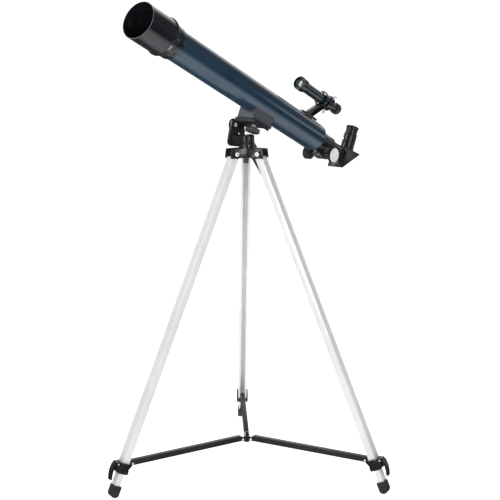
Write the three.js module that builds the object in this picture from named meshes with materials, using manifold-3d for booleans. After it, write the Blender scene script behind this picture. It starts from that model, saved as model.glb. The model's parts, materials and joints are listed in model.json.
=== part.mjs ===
// A 50 mm f/12 refracting telescope on a folding aluminium tripod.
// Millimetres, +Z up. The tripod's back leg points along +Y, and the tube points forward, left and up.
import * as THREE from 'three';
import { mergeVertices } from 'three/addons/utils/BufferGeometryUtils.js';
import Module from 'manifold-3d';

const wasm = await Module();
wasm.setup();

// ---- Driving dimensions ----------------------------------------------------------------------
const GAP = 0.3;                 // air between neighbouring parts
const BORE_PLAY = 0.4;           // radial air round a pin

// Tripod
const LEG_ANGLE = THREE.MathUtils.degToRad(23.43);
const LEGS = [['left', 210], ['right', -30], ['back', 90]];
const PIVOT_RADIUS = 30;         // leg bolt, from the tripod's axis
const PIVOT_HEIGHT = 658.3;
const HUB_RADIUS = 15.5;
const HUB_BOTTOM = 650;
const HUB_TOP = 675.9;
const EAR_TOP = 668.5;
const EAR_REACH = 41.5;          // outer end of an ear, from the tripod's axis
const EAR_LEAN = 1.2;            // how far its end leans out below and in above
const EAR_INSIDE = 9.9;          // half the space between a pair of ears
const EAR_THICK = 3;
const BOLT_RADIUS = 2.5;

// Leg sections, measured in the leg's own frame: down from the bolt, and out from it
const LEG_INNER = -9.1;          // inner face of the leg, outward from the bolt
const LEG_DEPTH = 15;
const LEG_WIDTH = 19;
const LEG_WALL = 1.2;
const LEG_SLOT = 10.5;
const LEG_TOP = 8;
const LEG_END = 662;
const CAP_TOP = -6;
const CAP_PLUG_END = 24;
const LOWER_TOP = 26;
const LOWER_END = 695.5;
const CLAMP_TOP = 643;
const CLAMP_END = 664.5;
const CLAMP_WALL = 2.7;
const SHOE_TOP = 690;
const SOLE = 715.85;             // the sole's plane, down from the bolt
const SHOE_WIDTH = 19;
const ARM_PIN = [-18.97, 641.1]; // outer arm pin: outward, down
const LEVER_PIN = [13.4, 648.2];
const LEVER_ROOT = 4.2;          // radius of the lever round its pin
const LEVER_PIN_RADIUS = 1.8;
const ARM_PIN_THICK = 1.5;       // radius of an arm's pin
const LEVER_WIDTH = 10.4;
const CHEEK_THICK = 3.4;

// Spreader, at rest level with the arm pins
const ARM_PIN_RADIUS = 267.5;    // arm pins, from the tripod's axis
const ARM_HEIGHT = 62.53;
const ARM_INNER_RADIUS = 12.5;   // inner end of an arm, from the tripod's axis
const ARM_WIDTH = 10;
const ARM_SHEET = 1.1;

// Pan head, in a frame that turns about the tripod's axis: forward, left of the tube, up
const PAN_AZIMUTH = THREE.MathUtils.degToRad(227.77);
const PAN_BASE_BOTTOM = 676.2;
const PAN_BASE_TOP = 694;
const PAN_BLOCK_BOTTOM = 671.2;
const PAN_BLOCK_TOP = 692.5;
const WALL_INSIDE = -27.5;
const WALL_OUTSIDE = -32.5;
const WALL_TOP = 721;
const LUG_INSIDE = -32.9;        // the tilt lug, outside the wall
const LUG_OUTSIDE = -36.9;
const TILT_HEIGHT = 712;
const TILT_BOLT_RADIUS = 3;
const RECESS_DEPTH = 2.2;        // of the bolt's head in the wall

// Optical tube, in a frame along its axis: forward, left, up
const TUBE_HEIGHT = 778.05;      // where the tube's axis crosses the tripod's axis
const ELEVATION = THREE.MathUtils.degToRad(25.84);
const TUBE_RADIUS = 30;
const TUBE_WALL = 1.5;
const TUBE_REAR = -250;
const TUBE_FRONT = 246;
const CELL_RADIUS = 33;
const SHIELD_REAR = 258.3;
const SHIELD_FRONT = 328.5;
const SHIELD_RADIUS = 36;
const LENS_SEAT = 250;
const FOCUS_SHAFT = [-285, -24]; // along the tube, up from its axis
const SHAFT_RADIUS = 2.5;
const DRAWTUBE_RADIUS = 16;
const DRAWTUBE_REAR = -345;
const HOLDER_AXIS = -369;        // eyepiece holder, along the tube
const EYEPIECE_RADIUS = 12.25;   // 0.965 inch barrel
const FINDER_HEIGHT = 82;
const FINDER_FRONT = -147;
const FINDER_REAR = -297;
const FINDER_SCREWS = -254;      // adjusting screws, along the tube
const SCREW_PLACE = -50;         // camera screw, along the tube
const SCREW_RADIUS = 3.2;        // 1/4 inch
const HANDLE_SIDE = -38.5;       // pan handle, left of the tube's plane
const HANDLE_START = [-9.36, 7.93]; // forward and up from the tilt axis to the handle's line
const HANDLE_RADIUS = 4;
const HANDLE_SLOPE = THREE.MathUtils.degToRad(49.44);

const WIDE_ROUND = 36;           // sides of the tube's circles
const ROUND = 28;                // sides of a middling circle
const SMALL_ROUND = 12;          // sides of a small one

// ---- Materials -------------------------------------------------------------------------------
function paint(color, roughness, metalness) {
  return new THREE.MeshStandardMaterial({ color, roughness, metalness });
}

const BLUE_PAINT = paint(0x24424f, 0.35, 0.2);
const BLACK_PLASTIC = paint(0x26262a, 0.5, 0);
const GREY_PLASTIC = paint(0x4a4e55, 0.5, 0);
const BLACK_STEEL = paint(0x2f2e30, 0.4, 0.6);
const ALUMINIUM = paint(0xe6e7e8, 0.35, 0.8);
const CHROME = paint(0xd8d8da, 0.15, 1);
const RUBBER = paint(0x3b393c, 0.8, 0);
const GLASS = paint(0x9fb3b8, 0.05, 0);
const MIRROR = paint(0xf0f0f2, 0.02, 1);

// ---- Solids ----------------------------------------------------------------------------------

// Six times the volume, negative where the faces point inwards.
function signedVolume(positions, triangles) {
  let sum = 0;
  const corner = [new THREE.Vector3(), new THREE.Vector3(), new THREE.Vector3()];
  for (let i = 0; i < triangles.length; i += 3) {
    corner.forEach((v, k) => v.fromArray(positions, 3 * triangles[i + k]));
    sum += corner[0].dot(corner[1].clone().cross(corner[2]));
  }
  return sum;
}

// A three.js geometry as a solid, with shared vertices merged and faces pointing out.
function solid(geometry) {
  const bare = geometry.clone();
  bare.deleteAttribute('normal');
  bare.deleteAttribute('uv');
  const merged = mergeVertices(bare, 1e-4);
  const index = merged.index.array;
  const triangles = [];
  for (let i = 0; i < index.length; i += 3) {
    const [a, b, c] = [index[i], index[i + 1], index[i + 2]];
    if (a !== b && b !== c && c !== a) triangles.push(a, b, c);
  }
  const positions = merged.attributes.position.array;
  if (signedVolume(positions, triangles) < 0) triangles.reverse();
  return new wasm.Manifold(new wasm.Mesh({
    numProp: 3,
    vertProperties: new Float32Array(positions),
    triVerts: new Uint32Array(triangles),
  }));
}

function moved(geometry, x, y, z) {
  return geometry.translate(x, y, z);
}

// A box between two corners.
function box(low, high) {
  const size = high.map((v, i) => v - low[i]);
  const middle = high.map((v, i) => (v + low[i]) / 2);
  return solid(moved(new THREE.BoxGeometry(...size), ...middle));
}

// A cylinder along 'x', 'y' or 'z', from one end to the other. Across gives its two other coordinates.
function rod(axis, radius, from, to, across = [0, 0], sides = SMALL_ROUND) {
  const geometry = new THREE.CylinderGeometry(radius, radius, to - from, sides);
  const middle = (from + to) / 2;
  if (axis === 'x') return solid(moved(geometry.rotateZ(-Math.PI / 2), middle, ...across));
  if (axis === 'y') return solid(moved(geometry, across[0], middle, across[1]));
  return solid(moved(geometry.rotateX(Math.PI / 2), ...across, middle));
}

// A turned shape along 'x' or 'z'. The profile lists [radius, place along the axis].
function turned(axis, profile, across = [0, 0], sides = ROUND) {
  const points = profile.map(([radius, along]) => new THREE.Vector2(radius, along));
  const geometry = new THREE.LatheGeometry(points, sides);
  if (axis === 'x') return solid(moved(geometry.rotateZ(-Math.PI / 2), 0, ...across));
  return solid(moved(geometry.rotateX(Math.PI / 2), ...across, 0));
}

// A tube along an axis, as a closed ring profile.
function ring(axis, inner, outer, from, to, across = [0, 0], sides = ROUND) {
  return turned(axis, [[inner, from], [outer, from], [outer, to], [inner, to], [inner, from]], across, sides);
}

// An outline of [x, z] points, with the given thickness from one y to another.
function plateAcross(outline, fromY, toY) {
  const shape = new THREE.Shape(outline.map(([x, z]) => new THREE.Vector2(x, z)));
  const geometry = new THREE.ExtrudeGeometry(shape, { depth: toY - fromY, bevelEnabled: false });
  return solid(moved(geometry.rotateX(Math.PI / 2), 0, toY, 0));
}

// An outline of [x, y] points, raised from one z to another.
function plateUp(outline, fromZ, toZ) {
  const shape = new THREE.Shape(outline.map(([x, y]) => new THREE.Vector2(x, y)));
  const geometry = new THREE.ExtrudeGeometry(shape, { depth: toZ - fromZ, bevelEnabled: false });
  return solid(moved(geometry, 0, 0, fromZ));
}

// Points of an arc, in degrees, for an outline.
function arc(centre, radius, fromDegrees, toDegrees, steps = 8) {
  return Array.from({ length: steps + 1 }, (_, i) => {
    const turn = THREE.MathUtils.degToRad(fromDegrees + (toDegrees - fromDegrees) * i / steps);
    return [centre[0] + radius * Math.cos(turn), centre[1] + radius * Math.sin(turn)];
  });
}

// A solid as a named mesh in a group.
function addPart(group, name, body, material) {
  const { vertProperties, triVerts, numProp } = body.getMesh();
  const positions = new Float32Array(triVerts.length * 3);
  triVerts.forEach((vertex, i) => {
    for (let k = 0; k < 3; k += 1) positions[3 * i + k] = vertProperties[numProp * vertex + k];
  });
  const geometry = new THREE.BufferGeometry();
  geometry.setAttribute('position', new THREE.BufferAttribute(positions, 3));
  geometry.computeVertexNormals();
  const mesh = new THREE.Mesh(geometry, material);
  mesh.name = name;
  group.add(mesh);
}

// ---- Tripod ----------------------------------------------------------------------------------

// Head of the tripod: a post with a pair of ears for each leg.
function hub() {
  let body = rod('z', HUB_RADIUS, HUB_BOTTOM, HUB_TOP, [0, 0], ROUND);
  const outline = [
    [8, HUB_BOTTOM], [EAR_REACH + EAR_LEAN, HUB_BOTTOM], [EAR_REACH - EAR_LEAN, EAR_TOP], [8, EAR_TOP],
  ];
  const outside = EAR_INSIDE + EAR_THICK;
  const ears = plateAcross(outline, EAR_INSIDE, outside).add(plateAcross(outline, -outside, -EAR_INSIDE));
  const hole = rod('y', BOLT_RADIUS + BORE_PLAY, -20, 20, [PIVOT_RADIUS, PIVOT_HEIGHT]);
  for (const [, azimuth] of LEGS) body = body.add(ears.rotate([0, 0, azimuth]));
  for (const [, azimuth] of LEGS) body = body.subtract(hole.rotate([0, 0, azimuth]));
  return body;
}

// Leg bolt, with a round washer head at one end and a nut at the other.
function legBolt() {
  const earFace = EAR_INSIDE + EAR_THICK + GAP;
  const headThick = 1.6;
  const shank = rod('y', BOLT_RADIUS, -earFace - headThick, earFace + headThick);
  const near = rod('y', 4.5, -earFace - headThick, -earFace);
  const far = rod('y', 4.5, earFace, earFace + headThick);
  return shank.add(near).add(far);
}

// Outline of a C-shaped channel, open towards the tripod's axis.
function channelOutline(inner, depth, width, wall, slot) {
  const half = width / 2;
  const outer = inner + depth;
  return [
    [inner, half], [outer, half], [outer, -half], [inner, -half], [inner, -slot / 2],
    [inner + wall, -slot / 2], [inner + wall, wall - half], [outer - wall, wall - half],
    [outer - wall, half - wall], [inner + wall, half - wall], [inner + wall, slot / 2], [inner, slot / 2],
  ];
}

function upperLeg() {
  return plateUp(channelOutline(LEG_INNER, LEG_DEPTH, LEG_WIDTH, LEG_WALL, LEG_SLOT), -LEG_END, -LEG_TOP);
}

// The lower section slides inside the upper one.
function lowerLeg() {
  const inset = LEG_WALL + BORE_PLAY;
  const outline = channelOutline(
    LEG_INNER + inset, LEG_DEPTH - 2 * inset, LEG_WIDTH - 2 * inset, LEG_WALL, LEG_SLOT - 1.5,
  );
  return plateUp(outline, -LOWER_END, -LOWER_TOP);
}

// Plastic end of a leg: a block between the ears, and a plug inside the channel.
function legCap() {
  const outer = LEG_INNER + LEG_DEPTH;
  const half = LEG_WIDTH / 2;
  const block = box([LEG_INNER, -half, GAP - LEG_TOP], [outer + 0.4, half, -CAP_TOP]);
  const inset = LEG_WALL + GAP;
  const plug = box(
    [LEG_INNER + inset, inset - half, -CAP_PLUG_END],
    [outer - inset, half - inset, 1 - LEG_TOP],
  );
  const slotHalf = LEG_SLOT / 2 - GAP;
  const rib = box([LEG_INNER, -slotHalf, -CAP_PLUG_END], [outer - inset - 1, slotHalf, -LEG_TOP + 1]);
  const hole = rod('y', BOLT_RADIUS + BORE_PLAY, -half - 1, half + 1);
  return block.add(plug).add(rib).subtract(hole);
}

// Collar at the end of the upper section: a U round the leg, an ear for the arm, and cheeks for the lever.
function clamp() {
  const half = LEG_WIDTH / 2 + GAP;
  const outer = LEG_INNER + LEG_DEPTH + GAP;
  const wallHalf = half + CLAMP_WALL;
  const bridgeTop = CLAMP_END - 9;
  const bridgeInner = LEG_INNER - GAP - 2.6;
  const leg = box([LEG_INNER - 1, -half, -CLAMP_END - 1], [outer, half, -CLAMP_TOP + 1]);
  const collar = box([LEG_INNER, -wallHalf, -CLAMP_END], [outer + CLAMP_WALL, wallHalf, -CLAMP_TOP]);
  let body = collar.subtract(leg);
  body = body.add(box([bridgeInner, -wallHalf, -CLAMP_END], [LEG_INNER - GAP, wallHalf, -bridgeTop]));
  body = body.add(box([LEG_INNER - 1, half, -CLAMP_END], [LEG_INNER + 1, wallHalf, -bridgeTop]));
  body = body.add(box([LEG_INNER - 1, -wallHalf, -CLAMP_END], [LEG_INNER + 1, -half, -bridgeTop]));
  return body.add(armEar(bridgeInner, bridgeTop)).add(leverCheeks(outer + CLAMP_WALL - 0.5));
}

// Ear of the collar, from its bridge up to the arm's pin.
function armEar(bridgeInner, bridgeTop) {
  const [pinOut, pinDown] = ARM_PIN;
  const outline = [
    ...arc([pinOut, -pinDown], 4, 45, 225),
    [bridgeInner + 0.1, -CLAMP_END], [LEG_INNER - GAP - 0.1, -CLAMP_END], [LEG_INNER - GAP - 0.1, -bridgeTop],
  ];
  const hole = rod('y', ARM_PIN_THICK + BORE_PLAY, -5, 5, [pinOut, -pinDown]);
  return plateAcross(outline, -3.4, 3.4).subtract(hole);
}

// Two cheeks on the collar's outer face, with a hole for the lever's pin.
function leverCheeks(face) {
  const [pinOut, pinDown] = LEVER_PIN;
  const outline = [
    [face, -CLAMP_TOP], ...arc([pinOut - 0.4, -pinDown], 4.4, 110, -50),
    [pinOut - 0.4, 6 - CLAMP_END], [face, 2.5 - CLAMP_END],
  ];
  const inside = LEVER_WIDTH / 2 + GAP;
  const left = plateAcross(outline, inside, inside + CHEEK_THICK);
  const right = plateAcross(outline, -inside - CHEEK_THICK, -inside);
  const hole = rod('y', LEVER_PIN_RADIUS + BORE_PLAY, -12, 12, [pinOut, -pinDown]);
  return left.add(right).subtract(hole);
}

// Flip lever: a hooked grip with its own pin through the cheeks. Its outline is laid out from the pin.
function flipLever() {
  const [pinOut, pinDown] = LEVER_PIN;
  const half = LEVER_WIDTH / 2;
  const outline = [
    ...arc([0, 0], LEVER_ROOT, 250, 60), [5.5, 4.5], [8.5, -3], [9, -14], [7, -25], [3.5, -34.5],
    [0, -32.5], [2.5, -23], [3.5, -14], [3.1, -7], [1, -4.4],
  ];
  const cheek = half + GAP + CHEEK_THICK;
  const pin = rod('y', LEVER_PIN_RADIUS, -cheek - 0.6, cheek + 0.6);
  return plateAcross(outline, -half, half).add(pin).translate([pinOut, 0, -pinDown]);
}

// Pin that joins an arm to the collar's ear.
function armPin() {
  const outside = ARM_WIDTH / 2;
  const shank = rod('y', ARM_PIN_THICK, -outside - 1, outside + 1);
  const near = rod('y', 2.4, -outside - GAP - 1.2, -outside - GAP);
  const far = rod('y', 2.4, outside + GAP, outside + GAP + 1.2);
  return shank.add(near).add(far);
}

// Rubber shoe, with a flat on its sole where it meets the ground.
function foot() {
  const half = SHOE_WIDTH / 2;
  const inner = LEG_INNER - 2.05;
  const outer = LEG_INNER + LEG_DEPTH - 0.15;
  const sole = (out) => [out, -SOLE - Math.tan(LEG_ANGLE) * out];
  const outline = [
    [inner, -SHOE_TOP], [inner, -707.4], sole(-9.4), sole(-3.4), [1.65, -713.4], [4.75, -709.9],
    [outer, -705.4], [outer, -SHOE_TOP],
  ];
  const inset = LEG_WALL + BORE_PLAY - GAP;
  const legHalf = LEG_WIDTH / 2 - inset;
  const socket = box(
    [LEG_INNER + inset, -legHalf, -LOWER_END - 0.5],
    [LEG_INNER + LEG_DEPTH - inset, legHalf, -SHOE_TOP + 1],
  );
  return plateAcross(outline, -half, half).subtract(socket);
}

// Spreader arm: a channel of folded steel, open below, rounded where it turns on its pins.
function spreaderArm() {
  const low = ARM_HEIGHT - 3.6;
  const high = ARM_HEIGHT + 7.5;
  const outline = [
    ...arc([ARM_INNER_RADIUS, ARM_HEIGHT], 3.6, 270, 110), [ARM_INNER_RADIUS + 4, high],
    [ARM_PIN_RADIUS + 2, high], [ARM_PIN_RADIUS + 4, high - 2],
    ...arc([ARM_PIN_RADIUS, ARM_HEIGHT], 4, 10, -64, 5),
  ];
  const half = ARM_WIDTH / 2;
  const body = plateAcross(outline, -half, half);
  const insideHalf = half - ARM_SHEET;
  const inside = box([0, -insideHalf, low - 1], [ARM_PIN_RADIUS + 20, insideHalf, high - ARM_SHEET]);
  const pinHole = rod('y', ARM_PIN_THICK + BORE_PLAY, -half - 1, half + 1, [ARM_PIN_RADIUS, ARM_HEIGHT]);
  return body.subtract(inside).subtract(pinHole);
}

// Centre of the spreader: a post with a lug inside each arm's end.
function spreaderHub() {
  let body = rod('z', 3.4, ARM_HEIGHT - 7, ARM_HEIGHT + 13);
  body = body.add(rod('z', 6.2, ARM_HEIGHT - 8, ARM_HEIGHT - 5));
  for (const [, azimuth] of LEGS) {
    const lug = plateAcross([
      [0, ARM_HEIGHT - 3.2], ...arc([ARM_INNER_RADIUS, ARM_HEIGHT], 3.2, -90, 90), [0, ARM_HEIGHT + 3.2],
    ], -1.6, 1.6);
    body = body.add(lug.rotate([0, 0, azimuth]));
  }
  return body;
}

function addLeg(tripod, side, azimuth) {
  const plan = new THREE.Group();
  plan.rotation.z = THREE.MathUtils.degToRad(azimuth);
  const leg = new THREE.Group();
  leg.position.set(PIVOT_RADIUS, 0, PIVOT_HEIGHT);
  leg.rotation.y = -LEG_ANGLE;
  const bolt = new THREE.Group();
  bolt.position.copy(leg.position);
  const pin = new THREE.Group();
  pin.position.set(ARM_PIN_RADIUS, 0, ARM_HEIGHT);
  plan.add(leg, bolt, pin);
  tripod.add(plan);
  addPart(bolt, `leg_bolt_${side}`, legBolt(), CHROME);
  addPart(leg, `leg_cap_${side}`, legCap(), BLACK_PLASTIC);
  addPart(leg, `upper_leg_${side}`, upperLeg(), ALUMINIUM);
  addPart(leg, `lower_leg_${side}`, lowerLeg(), ALUMINIUM);
  addPart(leg, `clamp_${side}`, clamp(), BLACK_PLASTIC);
  addPart(leg, `flip_lever_${side}`, flipLever(), BLACK_PLASTIC);
  addPart(leg, `foot_${side}`, foot(), RUBBER);
  addPart(pin, `arm_pin_${side}`, armPin(), CHROME);
  addPart(plan, `spreader_arm_${side}`, spreaderArm(), BLACK_STEEL);
}

// ---- Pan and tilt head -----------------------------------------------------------------------

// Pan base: a short post on the hub, a block out to the side, and the wall that holds the tilt bolt.
function panHead() {
  const post = turned('z', [
    [0, PAN_BASE_BOTTOM], [HUB_RADIUS, PAN_BASE_BOTTOM], [HUB_RADIUS, PAN_BASE_TOP - 2],
    [HUB_RADIUS - 2, PAN_BASE_TOP], [0, PAN_BASE_TOP],
  ]);
  const block = plateUp([
    [-9, -2], [-9, WALL_OUTSIDE], ...arc([9, WALL_OUTSIDE + 7], 7, -90, 0, 4), [15, -2],
  ], PAN_BLOCK_BOTTOM, PAN_BLOCK_TOP);
  const overHub = rod('z', HUB_RADIUS + 1, PAN_BLOCK_BOTTOM - 1, PAN_BASE_BOTTOM, [0, 0], ROUND);
  const wall = plateAcross([
    [-7.5, PAN_BLOCK_BOTTOM], [11, PAN_BLOCK_BOTTOM], ...arc([12.5, PAN_BLOCK_BOTTOM + 9], 9, -80, 10, 5),
    [11, WALL_TOP], [-7.5, WALL_TOP],
  ], WALL_OUTSIDE, WALL_INSIDE);
  const boltHole = rod('y', TILT_BOLT_RADIUS + BORE_PLAY, -40, -15, [0, TILT_HEIGHT]);
  const recess = rod('y', 5.4, WALL_INSIDE - RECESS_DEPTH, WALL_INSIDE + 1, [0, TILT_HEIGHT], ROUND);
  return post.add(block.subtract(overHub)).add(wall).subtract(boltHole).subtract(recess);
}

// Position of the tilt axis in the tube's own frame.
function tiltAxisInTube() {
  const drop = TILT_HEIGHT - TUBE_HEIGHT;
  return [drop * Math.sin(ELEVATION), drop * Math.cos(ELEVATION)];
}

// Folded tray under the saddle, with a lug down past the wall to the tilt axis.
function tiltPlate() {
  const top = -46.3;
  const under = top - 3;
  const edge = WALL_INSIDE + 2.2;
  let body = box([-68, edge, under], [-18, 25, top]);
  body = body.add(box([-68, 22.8, under - 5], [-18, 25, under]));
  body = body.add(box([-20.2, edge, under - 5], [-18, 25, under]));
  body = body.add(box([-68, LUG_OUTSIDE, under], [-43, edge, top]));
  const [axisAlong, axisUp] = tiltAxisInTube();
  const lug = tiltLug().rotate([0, THREE.MathUtils.radToDeg(ELEVATION), 0]).translate([axisAlong, 0, axisUp]);
  body = body.add(lug.subtract(box([-120, -60, under + 1], [40, 0, 20])));
  return body.subtract(rod('z', SCREW_RADIUS + BORE_PLAY, under - 1, top + 1, [SCREW_PLACE, 0]));
}

// Lug round the tilt axis, with the split boss that holds the handle. Its frame is at the tilt axis, level.
function tiltLug() {
  const outline = [
    ...arc([0, 0], 12, 90, -90, 10), [-30, -20.5], [-33, -18.5], [-33, 14], [-6, 20],
  ];
  const plate = plateAcross(outline, LUG_OUTSIDE, LUG_INSIDE);
  const boss = handleFrame(rod('x', 6.5, 14, 36, [0, 0], 24));
  const wallSide = box([-80, LUG_INSIDE, -80], [40, 0, 40]);
  const boltHole = rod('y', TILT_BOLT_RADIUS + BORE_PLAY, -40, -20);
  const rodHole = handleFrame(rod('x', HANDLE_RADIUS + BORE_PLAY, 11, 40));
  return plate.add(boss).subtract(wallSide).subtract(boltHole).subtract(rodHole);
}

// Bolt on the tilt axis, with its head sunk in the wall.
function tiltBolt() {
  const seat = WALL_INSIDE - RECESS_DEPTH + GAP;
  const shank = rod('y', TILT_BOLT_RADIUS, LUG_OUTSIDE - 3.6, seat + 0.5);
  return shank.add(rod('y', 4.3, seat, seat + 1.6, [0, 0], ROUND));
}

// Nut on the tilt bolt, against the lug.
function tiltNut() {
  const nut = rod('y', 6, LUG_OUTSIDE - GAP - 2.6, LUG_OUTSIDE - GAP, [0, 0], 6);
  return nut.subtract(rod('y', TILT_BOLT_RADIUS + GAP, -50, -20));
}

// Turns a shape made along +X so that it runs down the handle.
function handleFrame(body) {
  const down = THREE.MathUtils.radToDeg(HANDLE_SLOPE);
  const placed = body.rotate([0, 0, 180]).rotate([0, -down, 0]);
  return placed.translate([HANDLE_START[0], HANDLE_SIDE, HANDLE_START[1]]);
}

function handleRod() {
  return handleFrame(rod('x', HANDLE_RADIUS, 12, 78));
}

// Rubber grip, hollow where it takes the rod, rounded at its end.
function handleGrip() {
  const hole = HANDLE_RADIUS + BORE_PLAY;
  return handleFrame(turned('x', [
    [hole, 70], [9.5, 70], [11, 71.5], [11.3, 110], [12, 146], [11.5, 152], [9.5, 156.5],
    [6, 159.2], [0, 160], [0, 80], [hole, 80], [hole, 70],
  ]));
}

// Knurled knob of the camera screw, with its screw up into the saddle.
function cameraScrew() {
  const knob = rod('z', 15, -65.5, -57, [SCREW_PLACE, 0], 32);
  const neck = rod('z', 5, -57.5, -49.8, [SCREW_PLACE, 0]);
  const screw = rod('z', SCREW_RADIUS, -50, -38, [SCREW_PLACE, 0]);
  return knob.add(neck).add(screw);
}

// ---- Optical tube ----------------------------------------------------------------------------

function mainTube() {
  const inner = TUBE_RADIUS - TUBE_WALL;
  return turned('x', [
    [21.5, TUBE_REAR], [24.5, TUBE_REAR], [28, TUBE_REAR + 2], [29.6, TUBE_REAR + 4.5],
    [TUBE_RADIUS, TUBE_REAR + 8], [TUBE_RADIUS, TUBE_FRONT], [inner, TUBE_FRONT], [inner, TUBE_REAR + 8],
    [26.8, TUBE_REAR + 3.2], [24, TUBE_REAR + 1.8], [21.5, TUBE_REAR + 1.8], [21.5, TUBE_REAR],
  ], [0, 0], WIDE_ROUND);
}

// Block between the tube and the tilt plate, hollowed to the tube.
function saddle() {
  const block = box([-80, -20, -46], [-17, 20, -18]);
  const tube = rod('x', TUBE_RADIUS + GAP, -90, 0, [0, 0], WIDE_ROUND);
  const screwHole = rod('z', SCREW_RADIUS + BORE_PLAY, -50, -36, [SCREW_PLACE, 0]);
  return block.subtract(tube).subtract(screwHole);
}

// Collar on the front of the tube, with the lens seat inside and a spigot for the dew shield.
function lensCell() {
  const spigot = SHIELD_RADIUS - 1.5 - BORE_PLAY;
  return turned('x', [
    [TUBE_RADIUS + GAP, 233], [CELL_RADIUS, 233], [CELL_RADIUS, 258], [spigot, 258.8], [spigot, 272],
    [28.6, 272], [28.6, LENS_SEAT + 0.2], [26, LENS_SEAT + 0.2], [26, TUBE_FRONT + GAP],
    [TUBE_RADIUS + GAP, TUBE_FRONT + GAP], [TUBE_RADIUS + GAP, 233],
  ], [0, 0], WIDE_ROUND);
}

// Objective lens, more curved in front.
function objectiveLens() {
  const edge = LENS_SEAT + 0.5;
  return turned('x', [
    [0, edge - 0.4], [14, edge - 0.2], [28.2, edge], [28.2, edge + 4.5], [20, edge + 5.6],
    [10, edge + 6.3], [0, edge + 6.5],
  ]);
}

// Dew shield, with a raised ring at its rear.
function dewShield() {
  const inner = SHIELD_RADIUS - 1.5;
  return turned('x', [
    [inner, SHIELD_REAR], [37, SHIELD_REAR], [38, SHIELD_REAR + 0.8], [38, SHIELD_REAR + 3],
    [SHIELD_RADIUS, SHIELD_REAR + 4], [SHIELD_RADIUS, SHIELD_FRONT],
    [inner, SHIELD_FRONT], [inner, SHIELD_REAR],
  ], [0, 0], WIDE_ROUND);
}

// Focuser: a flange inside the tube, a neck through its rear, and a housing for the pinion below.
function focuserBody() {
  const bore = DRAWTUBE_RADIUS + BORE_PLAY;
  const [shaftAlong, shaftUp] = FOCUS_SHAFT;
  let body = turned('x', [
    [bore, -300], [20, -300], [21, -298.5], [21, TUBE_REAR + 4], [28.1, TUBE_REAR + 9],
    [28.1, TUBE_REAR + 20], [bore, TUBE_REAR + 20], [bore, -300],
  ]);
  const housing = box([shaftAlong - 10, -13, shaftUp - 8], [shaftAlong + 10, 13, -14]);
  body = body.add(housing.subtract(rod('x', 18, -310, -260)));
  const pinionRoom = box([shaftAlong - 5.5, -4.6, shaftUp - 5.5], [shaftAlong + 5.5, 4.6, 0]);
  body = body.subtract(pinionRoom);
  body = body.subtract(box([-301, -3.6, -19.4], [TUBE_REAR + 21, 3.6, -10]));
  return body.subtract(rod('y', SHAFT_RADIUS + BORE_PLAY, -20, 20, FOCUS_SHAFT));
}

// Drawtube with its rack below.
function drawtube() {
  const tube = ring('x', DRAWTUBE_RADIUS - 1.5, DRAWTUBE_RADIUS, DRAWTUBE_REAR, -225);
  const rack = box([-335, -3.2, -18.9], [-228, 3.2, -15.2]);
  return tube.add(rack.subtract(rod('x', DRAWTUBE_RADIUS - 0.7, -340, -220)));
}

// Shaft across the focuser, with the pinion that drives the rack.
function focusShaft() {
  const shaft = rod('y', SHAFT_RADIUS, -38, 33, FOCUS_SHAFT);
  return shaft.add(rod('y', 4.7, -4.2, 4.2, FOCUS_SHAFT));
}

// Knurled focus knob. Side is +1 for the one at the tube's left.
function focusKnob(side) {
  const near = side > 0 ? 23 : -40;
  const far = near + (side > 0 ? 12 : 16);
  const knob = rod('y', 13.8, near, far, FOCUS_SHAFT, 36);
  return knob.subtract(rod('y', SHAFT_RADIUS + GAP, -50, 50, FOCUS_SHAFT));
}

// Bright cap on the outer end of the left knob.
function knobCap() {
  return rod('y', 14.7, 35.3, 37.2, FOCUS_SHAFT, 36);
}

// Star diagonal: a hollow prism housing, a nose in the drawtube and a holder for the eyepiece.
function diagonalBody() {
  const prism = plateAcross([[-346, -32], [-345.6, 14], [-396, 17]], -20, 20);
  const room = plateAcross([[-348, -25], [-348, 11.6], [-387, 13.6]], -17.5, 17.5);
  const nose = rod('x', DRAWTUBE_RADIUS - 1.5 - BORE_PLAY, -347, -322, [0, 0], ROUND);
  const bore = rod('x', 12.6, -352, -310, [0, 0], ROUND);
  const holder = rod('z', 14.7, 13.5, 50, [HOLDER_AXIS, 0], ROUND);
  const socket = rod('z', EYEPIECE_RADIUS + BORE_PLAY, 8, 60, [HOLDER_AXIS, 0], ROUND);
  const screwHole = rod('x', 1.5 + BORE_PLAY, HOLDER_AXIS + 8, HOLDER_AXIS + 20, [0, 34]);
  const hollow = room.add(bore).add(socket);
  return prism.add(nose).add(holder).subtract(hollow).subtract(screwHole);
}

// First-surface mirror, lying along the housing's slope.
function diagonalMirror() {
  return box([-21, -14, -1], [21, 14, 1]).rotate([0, 44.7, 0]).translate([-366.5, 0, -4.7]);
}

// Eyepiece: a barrel in the holder and an eyecup above it.
function eyepieceBarrel() {
  return turned('z', [
    [9, 21], [EYEPIECE_RADIUS, 21], [EYEPIECE_RADIUS, 50.3], [14.2, 50.3], [14.2, 54], [12.9, 55], [12.9, 65],
    [14.2, 66.5], [14.2, 70], [7, 70], [7, 65], [10.4, 63.5], [10.4, 50], [9, 48], [9, 21],
  ], [HOLDER_AXIS, 0]);
}

function eyeLens() {
  return turned('z', [
    [0, 57.2], [5, 57.5], [10, 58.6], [10, 61], [5, 62.1], [0, 62.4],
  ], [HOLDER_AXIS, 0]);
}

// Thumb screw that holds the eyepiece, on the holder's front.
function eyepieceScrew() {
  const tip = HOLDER_AXIS + EYEPIECE_RADIUS + GAP;
  const shank = rod('x', 1.5, tip, HOLDER_AXIS + 23, [0, 34]);
  return shank.add(rod('x', 3.4, HOLDER_AXIS + 20.5, HOLDER_AXIS + 26.5, [0, 34]));
}

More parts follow.
